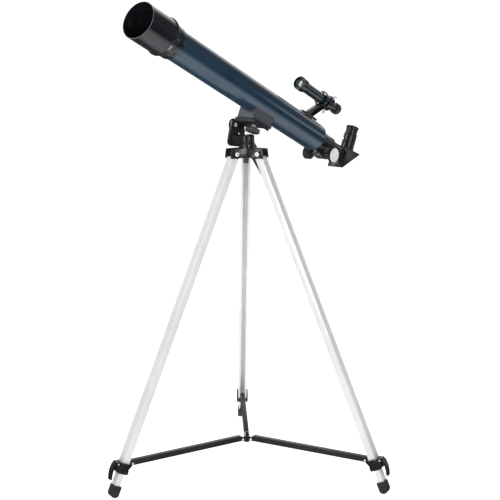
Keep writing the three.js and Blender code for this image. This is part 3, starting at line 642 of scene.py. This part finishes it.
def add_tilt_bolt():
    """A socket-headed bolt sunk in the wall, with its nut on the far side of the lug."""
    place = PAN @ shift(0, 0, TILT_HEIGHT)
    seat = WALL_INSIDE - 1.9
    head = turned("y", [
        (0, seat + 0.9), (1.7, seat + 0.9), (1.7, seat + 1.6), (4, seat + 1.6),
        (4.3, seat + 1.2), (4.3, seat), (0, seat)], sides=48, edge=0.15)
    shank = rod("y", 3, LUG_OUTSIDE - 3.6, seat + 0.3)
    add_piece("tilt_bolt_finished", joined(head, shank), place, "optical_tube", PALE_STEEL,
              ["tilt_bolt"])
    nut = rod("y", 6, LUG_OUTSIDE - 2.9, LUG_OUTSIDE - 0.3, sides=6, edge=0.2)
    add_piece("tilt_nut_finished", nut, place, "optical_tube", BRIGHT_STEEL, ["tilt_nut"],
              edge=0.3)


def add_head():
    add_softened_node("pan_head", BLACK_PLASTIC, 0.6)
    add_softened_node("tilt_plate", DULL_BLACK, 0.4)
    add_tilt_bolt()
    add_camera_screw()
    add_handle()


# ---- Optical tube ----------------------------------------------------------------------------

def add_tube():
    centre = (TUBE_RADIUS - REAR_ROUND, TUBE_REAR + REAR_ROUND)
    rear = []
    for degrees in range(90, -1, -10):
        angle = math.radians(degrees)
        rear.append((centre[0] + REAR_ROUND * math.cos(angle),
                     centre[1] - REAR_ROUND * math.sin(angle)))
    profile = [
        (21.5, TUBE_REAR), *rear, (TUBE_RADIUS, TUBE_FRONT), (28.5, TUBE_FRONT),
        (28.5, TUBE_REAR + 8), (24, TUBE_REAR + 1.8), (21.5, TUBE_REAR + 1.8)]
    tube = turned("x", profile, sides=FINE_SIDES, edge=0.15)
    add_piece("main_tube_finished", tube, TUBE, "optical_tube", BLUE_PAINT, ["main_tube"])
    add_softened_node("saddle", SADDLE_PAINT, 0.8)
    add_lens_cell()
    add_dew_shield()


def add_lens_cell():
    """The collar at the tube's front, its screws, the lens, and the ring that holds the lens, which
    is a paler black as a painted highlight on its lit rim.
    """
    cell = turned("x", [
        (30.3, 233), (32.4, 233), (CELL_RADIUS, 233.6), (CELL_RADIUS, 249), (32.4, 249.4),
        (32.4, 250.6), (CELL_RADIUS, 251), (CELL_RADIUS, 258), (34.1, 258.8), (34.1, 272),
        (28.6, 272), (28.6, 250.2), (26, 250.2), (26, 246.3), (30.3, 246.3),
    ], sides=FINE_SIDES, edge=0.3)
    add_piece("lens_cell_finished", cell, TUBE, "optical_tube", GLOSS_BLACK, ["lens_cell"])
    add_piece("lens_cell_screws", cell_screws(), TUBE, "optical_tube", DULL_BLACK)
    lens = turned("x", [
        (0, 250.1), (14, 250.3), (28.2, 250.5), (28.2, 255), (20, 256.1), (10, 256.8), (0, 257),
    ], sides=128, edge=0.2)
    add_piece("objective_lens_finished", lens, TUBE, "optical_tube", LENS_GLASS,
              ["objective_lens"])
    # the ring is a paler black than the cell: a painted highlight where the light catches its rim
    ring = turned("x", [(28.4, 271.6), (30, 271.6), (30, 272.5), (28.4, 272.5)], sides=128,
                  edge=0.1)
    add_piece("lens_ring_painted_highlight", ring, TUBE, "optical_tube", KNURLED_BLACK)


def cell_screws():
    """Three small screws round the lens cell."""
    heads = []
    for k in range(3):
        head = rod("z", 2.4, CELL_RADIUS - 1, CELL_RADIUS + 0.4, (CELL_SCREWS, 0), sides=32,
                   edge=0.2)
        head.transform(turn("X", math.radians(100 + 120 * k)))
        heads.append(head)
    return joined(*heads)


def add_dew_shield():
    """A wide flanged tube with grooves inside."""
    grooves = []
    for k in range(SHIELD_GROOVES):
        start = SHIELD_FRONT - 8 - SHIELD_GROOVE_PITCH * k
        grooves += [(34.6, start), (34.6, start - 4.6), (34.9, start - 5), (34.9, start - 5.6)]
    profile = [
        (34.5, SHIELD_REAR), (37.2, SHIELD_REAR), (38, SHIELD_REAR + 0.8),
        (38, SHIELD_REAR + 3.2), (SHIELD_RADIUS, SHIELD_REAR + 4.2),
        (SHIELD_RADIUS, SHIELD_FRONT - 0.4), (35.7, SHIELD_FRONT), (34.7, SHIELD_FRONT),
        (34.5, SHIELD_FRONT - 3), *grooves,
    ]
    shield = turned("x", profile, sides=FINE_SIDES, edge=0.25)
    add_piece("dew_shield_finished", shield, TUBE, "dew_shield", GLOSS_BLACK, ["dew_shield"])


def add_focuser():
    bore = DRAWTUBE_RADIUS + 0.4
    body = turned("x", [
        (bore, -300), (19, -300), (20, -299), (20, -297), (19.6, -296.4), (19.6, -294.6),
        (20, -294), (20, -272), (21, -271), (21, TUBE_REAR + 4), (28.1, TUBE_REAR + 9),
        (28.1, TUBE_REAR + 20), (bore, TUBE_REAR + 20),
    ], sides=128, edge=0.3)
    add_piece("focuser_body_finished", body, TUBE, "optical_tube", BLACK_PLASTIC,
              ["focuser_body"])
    add_pinion_housing()
    add_drawtube()
    add_focus_knobs()


def add_pinion_housing():
    """The block round the focus shaft, hollow for its pinion, with four screws below."""
    along, up = FOCUS_SHAFT
    housing = cut(
        block((along - 10, -13, up - 8), (along + 10, 13, -14)),
        rod("x", 19, -310, -260),
        block((along - 5.5, -4.6, up - 5.5), (along + 5.5, 4.6, 0)),
        rod("y", 2.9, -20, 20, FOCUS_SHAFT),
    )
    add_piece("pinion_housing", housing, TUBE, "optical_tube", BLACK_PLASTIC, edge=0.8)
    screws = [rod("z", 1.8, up - 9, up - 7.8, (along + x, y), 24)
              for x in (-7.5, 7.5) for y in (-9, 9)]
    add_piece("housing_screws", joined(*screws), TUBE, "optical_tube", BRIGHT_STEEL)


def add_drawtube():
    """The sliding tube, and the toothed rack along its underside."""
    inside = DRAWTUBE_RADIUS - 1.5
    tube = turned("x", [
        (inside, DRAWTUBE_REAR), (DRAWTUBE_RADIUS, DRAWTUBE_REAR), (DRAWTUBE_RADIUS, -225),
        (inside, -225)], sides=96)
    add_piece("drawtube_finished", tube, TUBE, "drawtube", GLOSS_BLACK, ["drawtube"])
    teeth = []
    for k in range(RACK_TEETH):
        start = RACK_START + RACK_PITCH * k
        teeth.append(block((start, -3.2, -18.9), (start + 0.8, 3.2, -17)))
    rack = joined(block((-335, -3.2, -17.6), (-228, 3.2, -15.4)), *teeth)
    add_piece("rack", rack, TUBE, "drawtube", DULL_BLACK)


def rim_flutes(count, depth, inside):
    """As flutes(), for the parts of a knob that are wider than inside."""
    wave = flutes(count, depth)
    return lambda angle, radius: wave(angle, radius) if radius > inside else 1


def add_focus_knobs():
    """The shaft with its pinion, a knob at each end, and the bright cap of the near knob."""
    shaft = joined(
        rod("y", 2.5, -38, 33, FOCUS_SHAFT),
        rod("y", 4.7, -4.2, 4.2, FOCUS_SHAFT, 96, wave=flutes(12, 1.0)),
    )
    add_piece("focus_shaft_finished", shaft, TUBE, "focus_knobs", BRIGHT_STEEL, ["focus_shaft"])
    for side, name in ((1, "focus_knob_left"), (-1, "focus_knob_right")):
        inner, outer = (23, 35) if side > 0 else (-24, -40)
        knob = turned("y", [
            (0, inner), (9, inner), (9.5, inner + side), (13, inner + 2 * side),
            (13.8, inner + 3 * side), (13.8, outer - side), (12.6, outer), (0, outer),
        ], FOCUS_SHAFT, 180, wave=rim_flutes(45, 0.7, 12))
        add_piece(f"{name}_finished", knob, TUBE, "focus_knobs", BLACK_RUBBER, [name])
    cap = turned("y", [
        (0, 35.3), (14.7, 35.3), (14.7, 36.4), (14, 37.2), (11, 36.9), (10.6, 36.4), (4, 36.2),
        (0, 36.4)], FOCUS_SHAFT, 96, edge=0.2)
    add_piece("focus_knob_cap_finished", cap, TUBE, "focus_knobs", PALE_STEEL,
              ["focus_knob_cap"])


def add_diagonal():
    """The prism-shaped housing, its nose in the drawtube, and the holder of the eyepiece."""
    prism = extruded("xz", rounded([(-346, -32), (-345.6, 14), (-396, 17)], 1.2), -20, 20)
    add_piece("diagonal_housing", prism, TUBE, "diagonal", BLACK_PLASTIC,
              ["diagonal_body", "diagonal_mirror"], edge=0.5)
    nose = turned("x", [(12.6, -347), (14.1, -347), (14.1, -322), (12.6, -322)])
    add_piece("diagonal_nose", nose, TUBE, "diagonal", GLOSS_BLACK)
    holder = turned("z", [
        (12.65, 14), (15.6, 14), (15.6, 16), (14.7, 17), (14.7, 48), (14.2, 50), (12.65, 50),
    ], (HOLDER_AXIS, 0))
    add_piece("eyepiece_holder", holder, TUBE, "diagonal", BLACK_PLASTIC)
    add_eyepiece()


def add_eyepiece():
    """The ribbed barrel, its lens, and the thumb screw that holds it."""
    ribs = []
    for k in range(EYEPIECE_RIBS):
        start = EYEPIECE_RIBS_START + EYEPIECE_RIB_PITCH * k
        ribs += [(12.9, start), (12.9, start + 1.2), (12.5, start + 1.3), (12.5, start + 1.8)]
    barrel = turned("z", [
        (9, 21), (12.25, 21), (12.25, 50.3), (14.2, 50.3), (14.2, 54), (12.9, 55), *ribs,
        (12.9, 65), (14.2, 66.5), (14.2, 69.2), (13.4, 70), (7.6, 70), (7, 69.4), (7, 65),
        (10.4, 63.5), (10.4, 50), (9, 48),
    ], (HOLDER_AXIS, 0), edge=0.2)
    add_piece("eyepiece_barrel_finished", barrel, TUBE, "eyepiece", BLACK_PLASTIC,
              ["eyepiece_barrel"])
    lens = turned("z", [(0, 57.2), (5, 57.5), (10, 58.6), (10, 61), (5, 62.1), (0, 62.4)],
                  (HOLDER_AXIS, 0), 64)
    add_piece("eyepiece_lens_finished", lens, TUBE, "eyepiece", LENS_GLASS, ["eyepiece_lens"])
    height = (0, 34)
    screw = joined(
        rod("x", 1.5, HOLDER_AXIS + 12.6, HOLDER_AXIS + 23, height),
        rod("x", 3.4, HOLDER_AXIS + 20.5, HOLDER_AXIS + 26.5, height, 96, wave=flutes(20, 0.5)),
    )
    add_piece("eyepiece_screw_finished", screw, TUBE, "eyepiece_screw", BRIGHT_STEEL,
              ["eyepiece_screw"])


def add_finder_bracket():
    """A foot shaped to the tube, a slanted post with a web, and a flanged ring with windows."""
    foot = cut(
        block((-226, -10, 20), (-173, 10, 33)),
        rod("x", TUBE_RADIUS + 0.3, -240, -160, sides=FINE_SIDES),
    )
    web = [(-215, 36), (-201, 36), (-233, 66), (-247, 66)]
    post = cut(
        extruded("xz", [(-213, 31), (-191, 31), (-231, 70), (-251, 70)], -5.5, 5.5),
        extruded("xz", web, -6, -2.5),
        extruded("xz", web, 2.5, 6),
    )
    ring = turned("x", [
        (13.6, -261), (16.8, -261), (16.8, -258.2), (14.8, -257.4), (14.8, -235.6),
        (16.8, -234.8), (16.8, -232), (13.6, -232)], sides=128)
    for k in range(3):
        window = block((-248, -6, 12), (-238, 6, 16))
        window.transform(turn("X", math.radians(120 * k)))
        ring = cut(ring, window)
    for angle in FINDER_SCREW_ANGLES:
        boss = rod("z", 4, 13.8, 16.6, (FINDER_SCREWS, 0), sides=32)
        boss.transform(turn("X", math.radians(-angle)))
        ring = joined(ring, boss)
    ring.transform(shift(0, 0, FINDER_HEIGHT))
    add_piece("finder_bracket_finished", joined(foot, post, ring), TUBE, "optical_tube",
              BLACK_PLASTIC, ["finder_bracket"], edge=0.35)


def add_finder():
    add_finder_bracket()
    axis = (0, FINDER_HEIGHT)
    tube = turned("x", [
        (8, FINDER_REAR + 6), (8.6, FINDER_REAR + 6), (9, -286), (9, -249), (11.5, -246),
        (11.5, -166.5), (14.5, -164), (14.5, FINDER_FRONT - 1), (13.8, FINDER_FRONT),
        (12.6, FINDER_FRONT), (12.6, -156), (11.6, -157), (10, -166), (10, -245), (8, -248),
    ], axis, edge=0.3)
    add_piece("finder_tube_finished", tube, TUBE, "optical_tube", FINDER_PAINT, ["finder_tube"])
    lens = turned("x", [(0, -155.9), (12.2, -155.5), (12.2, -152.6), (6, -151.4), (0, -151)],
                  axis, 64)
    add_piece("finder_lens_finished", lens, TUBE, "optical_tube", LENS_GLASS, ["finder_lens"])
    eyepiece = turned("x", [
        (0, FINDER_REAR + 2), (6, FINDER_REAR + 2), (7, FINDER_REAR), (11, FINDER_REAR),
        (12, FINDER_REAR + 1.5), (12, FINDER_REAR + 12), (11, FINDER_REAR + 13.5),
        (9.4, FINDER_REAR + 13.5), (9.4, FINDER_REAR + 5.6), (0, FINDER_REAR + 5.6),
    ], axis, 120, wave=rim_flutes(30, 0.4, 11.5))
    add_piece("finder_eyepiece_finished", eyepiece, TUBE, "finder_eyepiece", BLACK_PLASTIC,
              ["finder_eyepiece"])
    for number, angle in enumerate(FINDER_SCREW_ANGLES, 1):
        name = f"finder_screw_{number}"
        screw = joined(
            rod("z", 1.5, 11.9, 21, (FINDER_SCREWS, 0)),
            rod("z", 3.4, 19.4, 25, (FINDER_SCREWS, 0), 96, wave=flutes(20, 0.5)),
        )
        screw.transform(shift(0, 0, FINDER_HEIGHT) @ turn("X", math.radians(-angle)))
        add_piece(f"{name}_finished", screw, TUBE, name, PALE_STEEL, [name])


# ---- Studio ----------------------------------------------------------------------------------

def add_floor():
    """A wide pale floor that glows a little and stays out of the reflections."""
    shape = bmesh.new()
    outline = ((-60, -20, 0), (60, -20, 0), (60, 100, 0), (-60, 100, 0))
    shape.faces.new([shape.verts.new(corner) for corner in outline])
    mesh = bpy.data.meshes.new("floor")
    shape.to_mesh(mesh)
    shape.free()
    floor = bpy.data.objects.new("floor", mesh)
    bpy.context.scene.collection.objects.link(floor)
    material, _, shader = new_material("floor", "floor", 0.9)
    shader.inputs["Base Color"].default_value = (0.95, 0.95, 0.95, 1)
    shader.inputs["Emission Color"].default_value = (1, 1, 1, 1)
    shader.inputs["Emission Strength"].default_value = FLOOR_GLOW
    mesh.materials.append(material)
    floor.visible_glossy = False


def add_light(name, azimuth, elevation, distance, width, height, power):
    """A soft box that faces the telescope. Azimuth is in degrees from the camera's side, positive
    to its right."""
    heading = math.radians(-90 + azimuth)
    rise = math.radians(elevation)
    level = math.cos(rise)
    away = Vector((math.cos(heading) * level, math.sin(heading) * level, math.sin(rise)))
    lamp = bpy.data.lights.new(name, "AREA")
    lamp.shape = "RECTANGLE"
    lamp.size = width
    lamp.size_y = height
    lamp.energy = power
    light = bpy.data.objects.new(name, lamp)
    light.location = Vector(LIGHT_TARGET) + away * distance
    light.rotation_euler = away.to_track_quat("Z", "Y").to_euler()
    bpy.context.scene.collection.objects.link(light)


def math_node(tree, operation, *values):
    node = tree.nodes.new("ShaderNodeMath")
    node.operation = operation
    for socket, value in zip(node.inputs, values):
        link(tree, value, socket)
    return node.outputs["Value"]


def add_world():
    """A bright backdrop behind, a pale table below, and a dim room on the camera's side. Seen
    directly, the world is white all round."""
    world = bpy.data.worlds.new("studio")
    world.use_nodes = True
    tree = world.node_tree
    direction = tree.nodes.new("ShaderNodeTexCoord")
    split = tree.nodes.new("ShaderNodeSeparateXYZ")
    link(tree, direction.outputs["Generated"], split.inputs["Vector"])
    back, up = split.outputs["Y"], split.outputs["Z"]
    behind = spread(tree, back, ROOM_GLOW, BACKDROP_GLOW, (0.5, 0.85))
    above = spread(tree, up, BELOW_GLOW, 1.0, (-0.25, 0.0))
    table = spread(tree, up, 0.0, TABLE_GLOW, (-0.5, -0.75))
    near = spread(tree, back, 1.0, 0.0, (0.1, 0.5))
    room = math_node(tree, "MULTIPLY", behind, above)
    glow = math_node(tree, "MULTIPLY_ADD", table, near, room)
    seen = tree.nodes.new("ShaderNodeLightPath").outputs["Is Camera Ray"]
    glow = math_node(tree, "MAXIMUM", glow, seen)
    background = tree.nodes["Background"]
    background.inputs["Color"].default_value = (1, 1, 1, 1)
    link(tree, glow, background.inputs["Strength"])
    bpy.context.scene.world = world


def add_studio():
    add_floor()
    add_world()
    for name, settings in SOFT_BOXES.items():
        add_light(name, *settings)
    bpy.context.scene.view_settings.view_transform = "Standard"


def add_camera():
    lens = bpy.data.cameras.new("camera")
    lens.lens = CAMERA_LENS
    lens.sensor_width = SENSOR_WIDTH
    lens.clip_end = CLIP_END
    camera = bpy.data.objects.new("camera", lens)
    camera.location = TRIPOD @ Vector(CAMERA_PLACE)
    camera.rotation_euler = (math.pi / 2 + CAMERA_PITCH, 0, CAMERA_AZIMUTH - math.pi / 2)
    bpy.context.scene.collection.objects.link(camera)
    bpy.context.scene.camera = camera


add_camera()
add_tripod()
add_head()
add_tube()
add_focuser()
add_diagonal()
add_finder()
add_studio()
